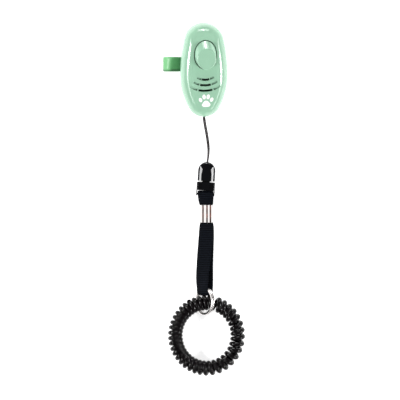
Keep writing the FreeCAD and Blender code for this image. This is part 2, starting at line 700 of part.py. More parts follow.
def strap_section(name, centre, turn, width, thick):
    """A rectangle across the strap, turned about +Y."""
    half = (width / 2, thick / 2)
    corners = [centre + turn.multVec(V(x * half[0], 0, z * half[1]))
               for x, z in ((-1, -1), (1, -1), (1, 1), (-1, 1))]
    item = doc.addObject("Part::Feature", name)
    item.Shape = Part.makePolygon(corners + corners[:1])
    return item


def strap_run(name, sections):
    loft = doc.addObject("Part::Loft", name)
    loft.Sections = sections
    loft.Solid = True
    loft.Ruled = True
    return loft


def build_strap():
    """Doubled webbing: round the buckle's bar, through the crimp, round the ring."""
    flat = FreeCAD.Rotation()
    width, thick = dim("strap_width"), 2 * dim("strap_thick")
    bar = BUCKLE.multVec(V(0, dim("bar_y"), 0))
    inner = dim("bar_radius") + dim("bar_play")
    outer = inner + dim("strap_thick")
    start_x = bar.x + 0.2 - width / 2
    across = FreeCAD.Rotation(Y_AXIS, 90)
    wrap = part("Cylinder", "BarWrap", V(start_x, bar.y, bar.z), across,
                Radius=str(outer), Height="{strap_width}")
    bore = part("Cylinder", "BarWrapBore", V(start_x - 1, bar.y, bar.z), across,
                Radius=str(inner), Height="{strap_width} + 2")
    top = dim("crimp_top_y")
    end = top - dim("crimp_length")
    middle = dim("crimp_thick") / 2
    pinch = dim("crimp_width") - 2 * dim("crimp_wall") - 0.1
    crimp_centre = V(dim("crimp_x"), top, middle)
    neck = strap_run("Neck", [
        strap_section("NeckTop", V(bar.x + 0.2, bar.y, bar.z), flat, width, 2 * outer - 0.2),
        strap_section("NeckEnd", crimp_centre, flat, pinch, thick - 0.04)])
    upper = cut("NeckLoop", fuse("NeckSolid", [wrap, neck]), bore)
    pinched = strap_run("Pinched", [
        strap_section("PinchTop", crimp_centre + Y_AXIS * 0.1, flat, pinch, thick - 0.04),
        strap_section("PinchEnd", V(dim("crimp_x"), end - 0.4, middle), flat, pinch, thick - 0.04)])
    lower = strap_run("LowerRun", [
        strap_section("LowerTop", V(dim("crimp_x"), end - 0.3, middle), flat, width, thick),
        strap_section("LowerEnd", EYE_CENTRE + Y_AXIS * 3.0, EYE_TILT, width, thick)])
    turn = EYE_TILT.multiply(FreeCAD.Rotation(Y_AXIS, 90))
    eye_outer = part("Cylinder", "EyeOuter", EYE_CENTRE - turn.multVec(Z_AXIS) * width / 2, turn,
                     Radius="{eye_inner} + {eye_wall}", Height="{strap_width}")
    eye_bore = part("Cylinder", "EyeBore", EYE_CENTRE - turn.multVec(Z_AXIS) * width, turn,
                    Radius="{eye_inner}", Height="2 * {strap_width}")
    fold = cut("RingFold", fuse("FoldSolid", [lower, eye_outer]), eye_bore)
    keep(fuse("Strap", [upper, pinched, fold]), "strap")


def build_crimp():
    """Pressed metal sleeve with three grooves along its front."""
    top = dim("crimp_top_y")
    end = top - dim("crimp_length")
    low = V(dim("crimp_x") - dim("crimp_width") / 2, end, 0)
    block = part("Box", "CrimpBlock", low, Length="{crimp_width}", Width="{crimp_length}",
                 Height="{crimp_thick}")

    def lengthways(edge):
        box = edge.BoundBox
        return box.XLength < 0.01 and box.ZLength < 0.01

    sleeve = rounded("CrimpRounded", block, lengthways, 0.6)
    wall = dim("crimp_wall")
    bore = part("Box", "CrimpBore", low + V(wall, -1, wall), Length="{crimp_width} - 2 * {crimp_wall}",
                Width="{crimp_length} + 2", Height="{crimp_thick} - 2 * {crimp_wall}")
    grooves = [part("Cylinder", f"CrimpGroove{number}",
                    V(dim("crimp_x") + offset, end - 1, dim("crimp_thick") + dim("groove_lift")),
                    FreeCAD.Rotation(X_AXIS, -90), Radius="{groove_radius}",
                    Height="{crimp_length} + 2")
               for number, offset in enumerate((-2.5, 0.3, 2.65))]
    keep(cut("Crimp", sleeve, fuse("CrimpCuts", [bore] + grooves)), "crimp")


def build_ring_and_coil():
    """The split ring through the strap's fold, and the coil's outer shape linked in it."""
    half = dim("ring_thick") / 2
    outer = part("Cylinder", "RingOuter", V(0, 0, -half), Radius="{ring_outer}", Height="{ring_thick}")
    inner = part("Cylinder", "RingInner", V(0, 0, -half - 1), Radius="{ring_inner}",
                 Height="{ring_thick} + 2")
    seam = part("Cylinder", "SeamOuter", V(0, 0, -0.05), Radius="{ring_outer} + 1", Height="0.1")
    core = part("Cylinder", "SeamCore", V(0, 0, -1), Radius="{ring_outer} - 0.25", Height="2")
    split = cut("RingSeam", seam, core)
    ring = cut("SplitRing", outer, fuse("RingCuts", [inner, split]))
    keep(ring, "split_ring", FreeCAD.Placement(
        V(dim("ring_x"), dim("ring_y"), dim("ring_z")), RING_TILT))
    coil = part("Torus", "WristCoil", Radius1="{coil_radius}", Radius2="{coil_tube}")
    rise = dim("ring_z") - dim("coil_tube")
    tilt = math.asin(rise / (2 * dim("coil_radius")))
    height = dim("coil_tube") + rise / 2
    keep(coil, "wrist_coil", FreeCAD.Placement(
        V(dim("coil_x"), dim("coil_y"), height), FreeCAD.Rotation(X_AXIS, math.degrees(tilt))))


# ---- build, check and write ------------------------------------------------------------

def check_and_write():
    doc.recompute()
    failed = [item.Label for item in doc.Objects
              if "Invalid" in item.State or "Error" in item.State]
    if failed:
        raise RuntimeError(f"failed to recompute: {failed}")
    os.makedirs("parts", exist_ok=True)
    for label, item in PLACED.items():
        shape = item.Shape
        if shape.isNull() or not shape.isValid():
            raise RuntimeError(f"{label} has no valid shape")
        shape.exportStep(f"parts/{label}.step")
        box = shape.BoundBox
        print(f"{label}: {len(shape.Solids)} solid, {shape.Volume:.1f} mm3, "
              f"x {box.XMin:.2f} {box.XMax:.2f} y {box.YMin:.2f} {box.YMax:.2f} "
              f"z {box.ZMin:.2f} {box.ZMax:.2f}")


build_front_shell()
build_back_shell()
build_case_fasteners()
build_button()
build_leaf()
build_finger_band()
build_lanyard_cord()
build_buckle_plug()
build_ferrule()
build_buckle_socket()
build_strap()
build_crimp()
build_ring_and_coil()
check_and_write()
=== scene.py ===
"""Looks for the clicker trainer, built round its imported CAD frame. Lengths are metres."""

import json
import math
import random

import bpy
from mathutils import Matrix, Vector


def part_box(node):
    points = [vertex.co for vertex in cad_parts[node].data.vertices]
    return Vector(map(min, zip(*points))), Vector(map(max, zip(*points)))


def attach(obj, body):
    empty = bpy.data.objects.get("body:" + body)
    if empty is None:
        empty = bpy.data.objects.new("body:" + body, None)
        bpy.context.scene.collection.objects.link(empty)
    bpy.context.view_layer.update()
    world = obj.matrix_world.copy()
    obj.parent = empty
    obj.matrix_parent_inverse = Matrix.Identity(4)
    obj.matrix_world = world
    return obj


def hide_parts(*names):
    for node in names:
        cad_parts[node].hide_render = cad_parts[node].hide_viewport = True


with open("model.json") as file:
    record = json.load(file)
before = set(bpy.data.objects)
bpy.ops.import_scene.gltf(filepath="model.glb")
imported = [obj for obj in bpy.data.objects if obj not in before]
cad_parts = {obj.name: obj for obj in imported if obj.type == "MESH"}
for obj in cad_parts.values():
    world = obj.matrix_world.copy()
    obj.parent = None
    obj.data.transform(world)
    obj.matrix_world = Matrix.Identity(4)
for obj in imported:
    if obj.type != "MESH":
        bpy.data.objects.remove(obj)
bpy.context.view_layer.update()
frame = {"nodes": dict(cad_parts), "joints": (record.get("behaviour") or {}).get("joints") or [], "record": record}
MM = 0.001
UP = Vector((0, 0, 1))
record = frame["record"]
joints = {joint["name"]: joint for joint in frame["joints"]}
mounts = {mount["name"]: mount for mount in record["mounts"]}


def mm(x, y, z):
    """A point or direction given in millimetres."""
    return Vector((x, y, z)) * MM


# ---- the frame's own axes ----------------------------------------------------------------

case_out = -Vector(joints["button_press"]["axis"])
case_right = -Vector(joints["leaf_flex"]["axis"])
case_up = case_out.cross(case_right)
CASE_TURN = Matrix((case_right, case_up, case_out)).transposed()
PIN_IN_CASE = mm(0, -29.3, -0.7)  # the cord's cross pin
CASE_ORIGIN = Vector(joints["lanyard_swing"]["pos_m"]) - CASE_TURN @ PIN_IN_CASE


def in_case(x, y, z):
    """A point given in millimetres in the case's own frame, in the row frame."""
    return CASE_ORIGIN + CASE_TURN @ mm(x, y, z)


# ---- mesh and curve helpers --------------------------------------------------------------

def mesh_object(name, vertices, faces, smooth=True):
    mesh = bpy.data.meshes.new(name)
    mesh.from_pydata([tuple(v) for v in vertices], [], faces)
    mesh.validate()
    mesh.update()
    for polygon in mesh.polygons:
        polygon.use_smooth = smooth
    made = bpy.data.objects.new(name, mesh)
    bpy.context.scene.collection.objects.link(made)
    return made


def grid_faces(rows, columns, close_rows=False, close_columns=False):
    """Quads over a grid of points, row by row."""
    faces = []
    for i in range(rows if close_rows else rows - 1):
        for j in range(columns if close_columns else columns - 1):
            a = i * columns + j
            b = i * columns + (j + 1) % columns
            c = ((i + 1) % rows) * columns + (j + 1) % columns
            d = ((i + 1) % rows) * columns + j
            faces.append((a, b, c, d))
    return faces


def sweep(name, rings, closed=False):
    """A solid skin through rings of points; the ends are capped unless the rings close."""
    count, size = len(rings), len(rings[0])
    faces = grid_faces(count, size, closed, True)
    if not closed:
        faces.append(tuple(range(size))[::-1])
        faces.append(tuple((count - 1) * size + j for j in range(size)))
    return mesh_object(name, [p for ring in rings for p in ring], faces)


def nurbs(name, points, bevel=0.0, resolution=8):
    """One open NURBS spline of order 3 that starts and ends on its end points."""
    curve = bpy.data.curves.new(name, "CURVE")
    curve.dimensions = "3D"
    curve.resolution_u = resolution
    curve.bevel_depth = bevel
    curve.bevel_resolution = 4
    curve.use_fill_caps = bevel > 0
    spline = curve.splines.new("NURBS")
    spline.points.add(len(points) - 1)
    for target, point in zip(spline.points, points):
        target.co = (*point, 1)
    spline.order_u = 3
    spline.use_endpoint_u = True
    made = bpy.data.objects.new(name, curve)
    bpy.context.scene.collection.objects.link(made)
    return made


def spline_points(points, resolution=12):
    """Points read from the NURBS spline through a route's control points."""
    line = nurbs("route_reader", points, 0.0, resolution)
    bpy.context.view_layer.update()
    mesh = bpy.data.meshes.new_from_object(line)
    found = [v.co.copy() for v in mesh.vertices]
    bpy.data.objects.remove(line)
    bpy.data.meshes.remove(mesh)
    return found


def rounded_section(width, height, corner, steps=4):
    """Points round a rectangle with round corners, anticlockwise, centred on the origin."""
    points = []
    for sx, sy, start in ((1, 1, 0), (-1, 1, 90), (-1, -1, 180), (1, -1, 270)):
        centre = (sx * (width / 2 - corner), sy * (height / 2 - corner))
        for step in range(steps + 1):
            angle = math.radians(start + 90 * step / steps)
            points.append((centre[0] + corner * math.cos(angle),
                           centre[1] + corner * math.sin(angle)))
    return points


# ---- materials ---------------------------------------------------------------------------

class Nodes:
    """A node material around one Principled shader."""

    def __init__(self, name, **values):
        self.material = bpy.data.materials.new(name)
        self.material.use_nodes = True
        self.tree = self.material.node_tree
        self.shader = self.tree.nodes["Principled BSDF"]
        for socket, value in values.items():
            self.shader.inputs[socket.replace("_", " ")].default_value = value
        self.coords = self.tree.nodes.new("ShaderNodeTexCoord").outputs["Object"]

    def add(self, kind, **values):
        node = self.tree.nodes.new("ShaderNode" + kind)
        for socket, value in values.items():
            name = socket.replace("_", " ")
            if name in node.inputs:
                node.inputs[name].default_value = value
            else:
                setattr(node, socket, value)
        return node

    def link(self, source, target):
        self.tree.links.new(source, target)

    def noise(self, scale, detail=3.0, roughness=0.55):
        node = self.add("TexNoise", Scale=scale, Detail=detail, Roughness=roughness)
        self.link(self.coords, node.inputs["Vector"])
        return node.outputs["Fac"]

    def ramp(self, source, low, high, start=0.3, end=0.7):
        """Maps a factor from start..end to a value or colour from low to high."""
        node = self.add("ValToRGB")
        for element, place, value in zip(node.color_ramp.elements, (start, end), (low, high)):
            element.position = place
            element.color = value if hasattr(value, "__len__") else (value, value, value, 1)
        self.link(source, node.inputs["Fac"])
        return node.outputs["Color"]

    def colour(self, source, low, high, start=0.3, end=0.7):
        self.link(self.ramp(source, (*low, 1), (*high, 1), start, end),
                  self.shader.inputs["Base Color"])

    def paint_crevice_shade(self, distance, closed, clear, deepest=0.02):
        """Painted shade: scales the colour down where walls closer than distance shut out the light."""
        colour = self.shader.inputs["Base Color"]
        open_sky = self.add("AmbientOcclusion", Distance=distance, samples=8)
        mix = self.add("MixRGB", blend_type="MULTIPLY", Fac=1.0)
        self.link(colour.links[0].from_socket, mix.inputs["Color1"])
        self.link(self.ramp(open_sky.outputs["AO"], deepest, 1.0, closed, clear), mix.inputs["Color2"])
        self.link(mix.outputs["Color"], colour)

    def roughness(self, source, low, high, start=0.3, end=0.7):
        self.link(self.ramp(source, low, high, start, end), self.shader.inputs["Roughness"])

    def bump(self, source, strength, distance):
        node = self.add("Bump", Strength=strength, Distance=distance)
        self.link(source, node.inputs["Height"])
        before = self.shader.inputs["Normal"]
        if before.is_linked:
            self.link(before.links[0].from_socket, node.inputs["Normal"])
        self.link(node.outputs["Normal"], before)


def plastic(name, low, high, rough, grain=0.04, coat=0.3, shade=None, ior=1.5):
    """Moulded plastic: faint flow colour, uneven gloss and a very fine surface grain.

    With shade, crevices closer than its first value get painted shade: their colour is darker.
    """
    made = Nodes(name, IOR=ior, Coat_Weight=coat, Coat_Roughness=0.06)
    made.colour(made.noise(45.0, 2.0), low, high)
    if shade:
        made.paint_crevice_shade(*shade)
    made.roughness(made.noise(260.0, 4.0), rough * 0.85, rough * 1.25)
    made.bump(made.noise(2600.0, 2.0), grain, 0.00002)
    return made.material


def metal(name, low, high, rough, stretch=(1, 1, 1), metallic=1.0):
    """Plated metal with fine scratches drawn out along one direction."""
    made = Nodes(name, Metallic=metallic)
    mapping = made.add("Mapping")
    mapping.inputs["Scale"].default_value = stretch
    made.link(made.coords, mapping.inputs["Vector"])
    scratch = made.add("TexNoise", Scale=900.0, Detail=6.0)
    made.link(mapping.outputs["Vector"], scratch.inputs["Vector"])
    made.colour(made.noise(160.0), low, high)
    made.roughness(scratch.outputs["Fac"], rough * 0.7, rough * 1.6)
    made.bump(scratch.outputs["Fac"], 0.12, 0.00003)
    return made.material


def cloth(name, low, high, thread, sheen=0.3, gloss=0.2, rib_glint_scale=None):
    """Woven or laid nylon: thread relief, colour variation and a soft sheen; with a rib scale, lighter bands at
    the rib pitch are painted glints on the rib slopes.
    """
    made = Nodes(name, Sheen_Weight=sheen, Sheen_Roughness=0.45, Specular_IOR_Level=gloss)
    wave = made.add("TexVoronoi", Scale=thread, Randomness=0.35)
    made.link(made.coords, wave.inputs["Vector"])
    if rib_glint_scale:
        # painted highlight: lighter bands at the rib pitch stand in for glints on the rib slopes
        rows = made.add("TexWave", bands_direction="Y", Scale=rib_glint_scale, Distortion=0.6, Detail=1.0)
        made.link(made.coords, rows.inputs["Vector"])
        made.colour(rows.outputs["Fac"], low, high, 0.35, 0.95)
    else:
        made.colour(made.noise(thread / 6), low, high)
    made.roughness(made.noise(thread), 0.55, 0.85)
    made.bump(wave.outputs["Distance"], 0.7, 0.00012)
    return made.material


MINT_LOW, MINT_HIGH = (0.265, 0.462, 0.328), (0.282, 0.482, 0.345)
LOOKS = {
    # painted shade: the shell's and the button's colour is darker in the slots, the grooves and the gap round the
    # button
    "shell": plastic("shell_plastic", MINT_LOW, MINT_HIGH, 0.14, 0.03, 0.25,
                     (0.004, 0.12, 0.75)),
    "button": plastic("button_plastic", MINT_LOW, MINT_HIGH, 0.2, 0.06, 0.2,
                      (0.0015, 0.1, 0.55)),
    "inner": plastic("inner_plastic", (0.22, 0.45, 0.31), (0.26, 0.5, 0.35), 0.45),
    # painted shade: the band's colour turns deep dark green where the case hangs over it
    "band": plastic("band_rubber", (0.15, 0.45, 0.18), (0.175, 0.485, 0.205), 0.42, 0.15, 0.0,
                    (0.025, 0.4, 1.0, (0.02, 0.22, 0.09, 1))),
    "black": plastic("buckle_plastic", (0.001, 0.001, 0.0015), (0.002, 0.002, 0.003), 0.12, 0.03, 0.0,
                     ior=1.36),
    "coil": plastic("coil_plastic", (0.002, 0.0013, 0.0016), (0.004, 0.003, 0.0035), 0.1, 0.04, 0.0,
                    ior=1.3),
    "nickel": metal("ring_nickel", (0.62, 0.59, 0.58), (0.74, 0.71, 0.70), 0.16),
    "crimp": metal("crimp_nickel", (0.84, 0.81, 0.79), (0.92, 0.90, 0.89), 0.3, (1, 0.08, 1), 0.3),
    # painted reflection and shade: the dark red-brown at the bottom of the crimp's grooves
    "groove_reflection_shade": metal("crimp_groove", (0.06, 0.018, 0.012), (0.14, 0.05, 0.035), 0.35, (1, 0.08, 1)),
    "steel": metal("spring_steel", (0.32, 0.34, 0.38), (0.42, 0.44, 0.48), 0.3, (1, 0.1, 1)),
    "screw": metal("screw_steel", (0.5, 0.5, 0.5), (0.6, 0.6, 0.6), 0.28),
    "cord": cloth("cord_nylon", (0.018, 0.014, 0.016), (0.06, 0.05, 0.052), 2600.0, 0.5),
    # webbing: its lighter bands along the ribs are painted glints
    "webbing": cloth("webbing", (0.0003, 0.0005, 0.0013), (0.0055, 0.0075, 0.012), 3200.0, 0.0, 0.05,
                     251.0),
    "print": plastic("print_white", (0.86, 0.88, 0.86), (0.92, 0.94, 0.92), 0.4),
}
CAD_LOOKS = {
    "front_shell": "shell", "back_shell": "shell", "button": "button", "shell_screws": "screw",
    "lug_pin": "screw", "click_leaf": "steel", "leaf_foot": "steel", "leaf_clamp": "steel",
    "clamp_screws": "screw", "band_retainer": "inner", "cord_ferrule": "nickel",
    "buckle_plug": "black", "buckle_socket": "black", "crimp": "crimp",
}


def dress(thing, look):
    thing.data.materials.clear()
    thing.data.materials.append(LOOKS[look])


def dress_cad_nodes():
    for node, look in CAD_LOOKS.items():
        dress(frame["nodes"][node], look)


def place(piece, body, slot, look, *replaced):
    """Dress a new piece, ride it on its body and hide the CAD parts that it replaces."""
    dress(piece, look)
    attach(piece, body)
    if replaced:
        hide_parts(*replaced)
    return piece


# ---- camera, floor and light -------------------------------------------------------------

VIEW_WIDTH = 0.280
VIEW_CENTRE = mm(-3.05, 0.05, 0)
CAMERA_HEIGHT = 4.0
SENSOR = 36.0
FLOOR_HALF = 3.0
LEFT_LIGHTS = Vector((-0.46, -0.14, 0.34))
RIGHT_LIGHTS = Vector((0.52, -0.18, 0.25))
LAMP_SHARE = 0.97


def look_at(thing, target):
    direction = target - thing.location
    thing.rotation_euler = direction.to_track_quat("-Z", "Y").to_euler()


def area_light(name, place_at, target, size, power):
    data = bpy.data.lights.new(name, "AREA")
    data.shape = "RECTANGLE"
    data.size, data.size_y = size
    data.energy = power
    light = bpy.data.objects.new(name, data)
    light.location = place_at
    bpy.context.scene.collection.objects.link(light)
    look_at(light, target)


def build_camera():
    """A long lens straight above, which sees VIEW_WIDTH metres of the table."""
    camera_data = bpy.data.cameras.new("camera")
    camera_data.sensor_width = SENSOR
    camera_data.lens = SENSOR * CAMERA_HEIGHT / VIEW_WIDTH
    camera_data.clip_end = 20.0
    camera = bpy.data.objects.new("camera", camera_data)
    camera.location = VIEW_CENTRE + UP * CAMERA_HEIGHT
    bpy.context.scene.collection.objects.link(camera)
    bpy.context.scene.camera = camera
    bpy.context.scene.view_settings.view_transform = "Standard"


def build_floor():
    """A white table top that glows a little, so that it stays white beside the object."""
    corners = [(x * FLOOR_HALF, y * FLOOR_HALF, 0) for x, y in ((-1, -1), (1, -1), (1, 1), (-1, 1))]
    floor = mesh_object("floor", corners, [(0, 1, 2, 3)], False)
    table = Nodes("table_top", Emission_Strength=0.6)
    table.colour(table.noise(6.0), (0.86, 0.86, 0.86), (0.9, 0.9, 0.9))
    table.roughness(table.noise(80.0), 0.5, 0.6)
    table.shader.inputs["Emission Color"].default_value = (1, 1, 1, 1)
    floor.data.materials.append(table.material)


def build_lights():
    """Long strips for the case's curved highlights, small lamps for the dots on the coil."""
    world = bpy.data.worlds.new("studio")
    world.use_nodes = True
    world.node_tree.nodes["Background"].inputs["Color"].default_value = (1, 1, 1, 1)
    world.node_tree.nodes["Background"].inputs["Strength"].default_value = 0.16
    bpy.context.scene.world = world
    area_light("left_strip", LEFT_LIGHTS, CASE_ORIGIN, (0.75, 0.05), 1.5)
    area_light("right_strip", RIGHT_LIGHTS, CASE_ORIGIN, (0.75, 0.045), 1.5)
    area_light("left_lamp", LEFT_LIGHTS * LAMP_SHARE, VIEW_CENTRE, (0.09, 0.07), 2.3)
    area_light("right_lamp", RIGHT_LIGHTS * LAMP_SHARE, VIEW_CENTRE, (0.09, 0.065), 2.3)
    area_light("far_soft", Vector((0.0, 0.66, 0.36)), CASE_ORIGIN, (0.6, 0.2), 2.6)
    area_light("far_lamp", Vector((0.0, 0.64, 0.35)), VIEW_CENTRE, (0.09, 0.07), 1.4)


# ---- wrist coil --------------------------------------------------------------------------

COIL_WIRE = 3.2
COIL_RADIUS = 22.25
COIL_TUBE = 5.45
COIL_TUBE_HEIGHT = 4.95
COIL_TURNS = 38
POINTS_PER_TURN = 14
COIL_CENTRE = Vector(joints["coil_spin"]["pos_m"])
COIL_AXIS = Vector(joints["coil_spin"]["axis"])
COIL_SIDE = Vector((1, 0, 0))
COIL_AWAY = COIL_AXIS.cross(COIL_SIDE)
COIL_OVAL = (0.98, 1.035)
COIL_START = 118.0
COIL_SIZE_VARIES = 0.01
COIL_ANGLE_VARIES = 0.35
# where the turns open up: the extra share of room, its angle and its spread in degrees
COIL_GAPS = ((0.42, -38, 42), (0.25, 35, 38), (1.3, 76, 4))


def turn_width(angle):
    """How much room one turn takes at an angle round the coil, anticlockwise from +X."""
    return 1.0 + sum(extra * math.exp(-(math.remainder(angle - place_at, 360) / spread) ** 2)
                     for extra, place_at, spread in COIL_GAPS)


def coil_angles():
    """Angles along the coil at equal steps of the helix, once round from the top left."""
    steps = COIL_TURNS * POINTS_PER_TURN
    widths = [turn_width(COIL_START - 360 * step / steps) for step in range(steps)]
    total = sum(widths)
    angle, angles = COIL_START, []
    for width in widths:
        angles.append(angle)
        angle -= 360 * width / total
    return angles


def build_coil():
    """The helix of plastic wire, whose turns lie close on the left and fan out on the right."""
    draw = random.Random(11)
    swell = [1 + draw.uniform(-COIL_SIZE_VARIES, COIL_SIZE_VARIES) for _ in range(COIL_TURNS + 2)]
    shift = [draw.uniform(-COIL_ANGLE_VARIES, COIL_ANGLE_VARIES) for _ in range(COIL_TURNS + 2)]
    helix = COIL_TUBE - COIL_WIRE / 2
    helix_height = COIL_TUBE_HEIGHT - COIL_WIRE / 2
    points = []
    for number, angle in enumerate(coil_angles()):
        turn, phase = divmod(number, POINTS_PER_TURN)
        blend = phase / POINTS_PER_TURN
        size = swell[turn] * (1 - blend) + swell[turn + 1] * blend
        lean = shift[turn] * (1 - blend) + shift[turn + 1] * blend
        around = 2 * math.pi * blend + 0.6
        along = math.radians(angle + lean)
        outward = (COIL_SIDE * math.cos(along) * COIL_OVAL[0]
                   + COIL_AWAY * math.sin(along) * COIL_OVAL[1])
        reach = COIL_RADIUS + size * helix * math.cos(around)
        lift = size * helix_height * math.sin(around)
        points.append(COIL_CENTRE + (outward * reach + COIL_AXIS * lift) * MM)
    coil = nurbs("wrist_coil_wire", points, COIL_WIRE / 2 * MM, 4)
    place(coil, "coil", "coil_plastic", "coil", "wrist_coil")


# ---- split ring --------------------------------------------------------------------------

RING_CENTRE = Vector(mounts["key_ring"]["pos_m"])
RING_AXIS = Vector(mounts["key_ring"]["axis"])
RING_HIGH = (Vector((1, 0, 0)) - RING_AXIS * RING_AXIS.x).normalized()
RING_UP = RING_AXIS.cross(RING_HIGH)
RING_MEAN = 9.05
RING_WIRE = (1.44, 1.22)
RING_START = 205.0
RING_WOUND = 716
RING_LEVEL = 0.645
RING_STEP_AT, RING_STEP_OVER = 338, 40


def ring_point(angle, radius, lift):
    """A point on the ring, in millimetres from its centre, at an angle from its high side."""
    turned = math.radians(angle)
    across = RING_HIGH * math.cos(turned) + RING_UP * math.sin(turned)
    return RING_CENTRE + (across * radius + RING_AXIS * lift) * MM


def build_ring():
    """Two turns of flat wire, which step from one level to the other at the split."""
    section = rounded_section(*RING_WIRE, 0.32, 3)
    rings = []
    steps = 240
    for step in range(steps + 1):
        wound = RING_WOUND * step / steps
        angle = RING_START + wound
        ramp = min(1.0, max(0.0, (wound - RING_STEP_AT) / RING_STEP_OVER))
        lift = RING_LEVEL * (2 * (ramp * ramp * (3 - 2 * ramp)) - 1)
        rings.append([ring_point(angle, RING_MEAN + x, lift + y) for x, y in section])
    place(sweep("split_ring_wire", rings), "ring", "ring_nickel", "nickel", "split_ring")


# ---- lanyard cord ------------------------------------------------------------------------

CORD_ROUTE = [
    mm(-0.42, 61.76, 8.33), mm(-0.40, 58.70, 7.20), mm(0.15, 54.30, 5.10),
    mm(1.10, 49.30, 3.30), mm(1.95, 44.40, 2.15), mm(2.65, 39.60, 1.62),
    mm(3.00, 34.90, 1.70), mm(2.75, 30.60, 2.30), mm(2.10, 26.80, 2.95), mm(1.90, 24.00, 3.00),
]
STRAND_RADIUS = 0.5
STRAND_GAP = 0.02
STRAND_RELIEF = 0.07
EYE_RADIUS = 1.55
# the strands lie nearly flat side by side, then turn slowly over one another, in degrees
TWIST_FIRST, TWIST_FROM, TWIST_PER_MM = 8, 20.0, 4


def strand_rings(line, side, sides=10):
    """Rings of one strand, flat beside its twin at the case and over it at the buckle."""
    rings = []
    gone = 0.0
    for index, point in enumerate(line):
        ahead = line[min(index + 1, len(line) - 1)]
        behind = line[max(index - 1, 0)]
        along = (ahead - behind).normalized()
        across = along.cross(UP).normalized()
        lift = across.cross(along)
        if index:
            gone += (point - line[index - 1]).length
        twist = math.radians(TWIST_FIRST + max(0.0, gone / MM - TWIST_FROM) * TWIST_PER_MM)
        offset = across * math.cos(twist) + lift * math.sin(twist)
        centre = point + offset * side * (STRAND_RADIUS + STRAND_GAP / 2) * MM
        ring = []
        for step in range(sides):
            angle = 2 * math.pi * step / sides
            lay = 1 + STRAND_RELIEF * math.cos(3 * (angle - gone / MM * 2.6 * side))
            ring.append(centre + (across * math.cos(angle) + lift * math.sin(angle))
                        * STRAND_RADIUS * lay * MM)
        rings.append(ring)
    return rings


def build_cord():
    """Two laid strands and an eye round the pin, which end in the CAD frame's ferrule."""
    line = spline_points(CORD_ROUTE, 24)
    pieces = []
    for side in (-1, 1):
        pieces.append(sweep(f"cord_strand_{side}", strand_rings(line, side)))
    rings = []
    for step in range(49):
        angle = math.radians(-60 + 300 * step / 48)
        way = Vector((math.cos(angle), math.sin(angle), 0))
        centre = PIN_IN_CASE + way * EYE_RADIUS * MM
        ring = []
        for side in range(10):
            turn = 2 * math.pi * side / 10
            ring.append(CASE_ORIGIN + CASE_TURN @ (
                centre + (way * math.cos(turn) + UP * math.sin(turn)) * STRAND_RADIUS * MM))
        rings.append(ring)
    eye = sweep("cord_eye", rings)
    with bpy.context.temp_override(active_object=pieces[0], selected_editable_objects=pieces,
                                   selected_objects=pieces, object=pieces[0]):
        bpy.ops.object.join()
    cord = pieces[0]
    cord.name = "lanyard_cord_strands"
    place(cord, "lanyard", "cord_nylon", "cord", "lanyard_cord")
    place(eye, "lanyard", "cord_nylon", "cord")


# ---- strap -------------------------------------------------------------------------------

STRAP_THICK = 0.9
RIB_PITCH = 1.25
RIB_HEIGHT = 0.20
# x, y, z, twist in degrees and width of the webbing along its one loop: down from the
# crimp at the back, round the ring, up in front to the buckle's bar and back to the crimp
STRAP_ROUTE = [
    (1.55, -9.0, 1.02, 0, 8.5), (1.60, -14.5, 1.00, 0, 8.6), (1.75, -18.5, 1.10, 1, 9.6),
    (1.75, -24.0, 1.60, 3, 10.0), (1.60, -31.0, 2.40, 7, 10.0), (1.45, -38.0, 3.20, 13, 10.0),
    (1.45, -45.0, 4.20, 21, 10.0), (1.70, -51.0, 5.30, 29, 10.0), (1.95, -56.0, 6.20, 35, 10.0),
    (2.00, -60.2, 6.60, 38, 10.0), (1.75, -64.2, 6.85, 40, 10.2),
    (0.45, -66.3, 8.30, 41, 10.4), (-1.05, -64.8, 10.0, 40, 10.2),
    (-1.45, -60.7, 10.2, 38, 9.8), (-1.55, -57.0, 9.70, 35, 10.0), (-1.30, -51.5, 8.20, 28, 10.0),
    (-0.75, -45.0, 6.60, 20, 10.0), (-0.10, -38.0, 5.20, 13, 10.0), (0.55, -31.0, 4.10, 8, 10.0),
    (1.10, -24.0, 3.10, 4, 10.0), (1.45, -18.5, 2.25, 1, 9.8), (1.58, -14.5, 2.00, 0, 8.6),
    (1.52, -9.0, 2.00, 0, 8.5), (1.48, -4.5, 2.02, 0, 8.8), (1.30, -1.5, 2.70, 0, 9.9),
    (1.05, 1.2, 4.00, 0, 10.7), (0.90, 4.4, 5.00, 0, 11.1), (0.80, 6.0, 4.20, 0, 11.0),
    (0.78, 6.15, 2.20, 0, 11.0), (0.85, 4.2, 1.05, 0, 11.0), (1.05, 0.6, 0.85, 0, 10.6),
    (1.35, -2.5, 0.92, 0, 9.6), (1.50, -6.5, 1.00, 0, 8.5),
]


def smooth_values(values, steps):
    """Catmull-Rom samples through a list of number tuples."""
    found = []
    last = len(values) - 1
    for index in range(last):
        rows = [values[max(index - 1, 0)], values[index], values[index + 1],
                values[min(index + 2, last)]]
        for step in range(steps):
            u = step / steps
            found.append(tuple(
                0.5 * (2 * b + (c - a) * u + (2 * a - 5 * b + 4 * c - d) * u * u
                       + (3 * b - a - 3 * c + d) * u ** 3)
                for a, b, c, d in zip(*rows)))
    found.append(values[last])
    return found


def even_rows(rows, spacing):
    """Rows resampled so that their points lie evenly along the path."""
    gone = [0.0]
    for a, b in zip(rows, rows[1:]):
        gone.append(gone[-1] + math.dist(a[:3], b[:3]))
    count = int(gone[-1] / spacing)
    found, index = [], 0
    for step in range(count + 1):
        target = gone[-1] * step / count
        while index < len(gone) - 2 and gone[index + 1] < target:
            index += 1
        share = (target - gone[index]) / max(gone[index + 1] - gone[index], 1e-9)
        found.append(tuple(a + (b - a) * share for a, b in zip(rows[index], rows[index + 1])))
    return found, gone[-1]


